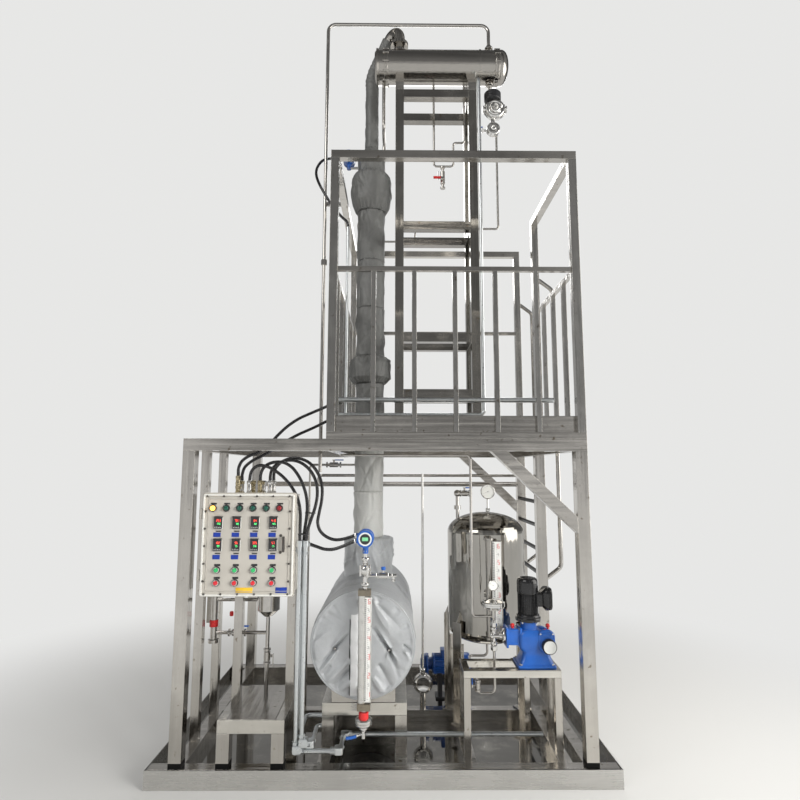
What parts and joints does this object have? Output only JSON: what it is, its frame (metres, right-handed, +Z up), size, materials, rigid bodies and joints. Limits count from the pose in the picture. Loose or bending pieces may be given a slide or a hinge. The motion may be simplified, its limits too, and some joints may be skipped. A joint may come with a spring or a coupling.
{
  "type": "distillation column skid",
  "caption": "Skid-mounted distillation unit: insulated still and column, platform with condenser tower, receiver, dosing pump and control panel.",
  "frame": {"origin": "middle of the underside of the drip tray", "axes": "+Z up along the column, +X to the right as seen from the control panel side, -Y to the front"},
  "size_m": [2.6, 1.7, 5.1445],
  "materials": {
    "frame_steel": "satin brushed stainless tube",
    "tray_steel": "bright stainless sheet with stains",
    "polished_steel": "mirror polished stainless",
    "process_tube": "polished stainless tube",
    "insulation": "silver coated cloth",
    "grey_insulation": "grey coated cloth",
    "panel_paint": "light grey powder coat",
    "device_plastic": "moulded plastic",
    "blue_paint": "gloss blue enamel",
    "black_paint": "satin black enamel",
    "gland_brass": "nickel and brass",
    "conduit_zinc": "galvanised",
    "hose_rubber": "ribbed black hose",
    "gauge_face": "white dial in a steel case"
  },
  "bodies": {
    "root": {"tray_floor": "tray_steel", "tray_walls": "tray_steel", "base_rails": "frame_steel", "posts": "frame_steel", "main_beams": "frame_steel", "braces": "frame_steel", "deck": "frame_steel", "deck_edge": "frame_steel", "toe_boards": "frame_steel", "rail_posts": "frame_steel", "top_rails": "frame_steel", "mid_rails": "frame_steel", "balusters": "frame_steel", "tower_uprights": "frame_steel", "tower_bars": "frame_steel", "condenser_shell": "polished_steel", "condenser_ends": "polished_steel", "condenser_saddles": "frame_steel", "column": "grey_insulation", "flange_jackets": "grey_insulation", "vapour_line": "grey_insulation", "vapour_elbow": "polished_steel", "still_body": "insulation", "still_collar": "insulation", "still_saddles": "frame_steel", "stand_legs": "frame_steel", "stand_beams": "frame_steel", "stand_plates": "frame_steel", "level_gauge": "process_tube", "gauge_valves": "process_tube", "transmitters": "blue_paint", "receiver_shell": "polished_steel", "receiver_heads": "polished_steel", "receiver_legs": "frame_steel", "receiver_gauge": "process_tube", "pressure_gauges": "gauge_face", "pump_body": "blue_paint", "pump_motor": "black_paint", "pump_head": "process_tube", "transfer_pump": "blue_paint", "riser": "process_tube", "control_panel": "panel_paint", "panel_door": "panel_paint", "panel_devices": "device_plastic", "rack_posts": "frame_steel", "cable_glands": "gland_brass", "conduits": "conduit_zinc", "back_pipes": "process_tube", "vent_line": "process_tube", "feed_line": "process_tube", "reflux_valve": "process_tube", "return_lines": "process_tube", "small_vessel": "process_tube", "ladder_rungs": "frame_steel", "hand_rails": "process_tube", "hose_conduit_a": "hose_rubber", "hose_conduit_b": "hose_rubber", "hose_down": "hose_rubber", "hose_level": "hose_rubber", "hose_top": "hose_rubber"}
  },
  "joints": []
}
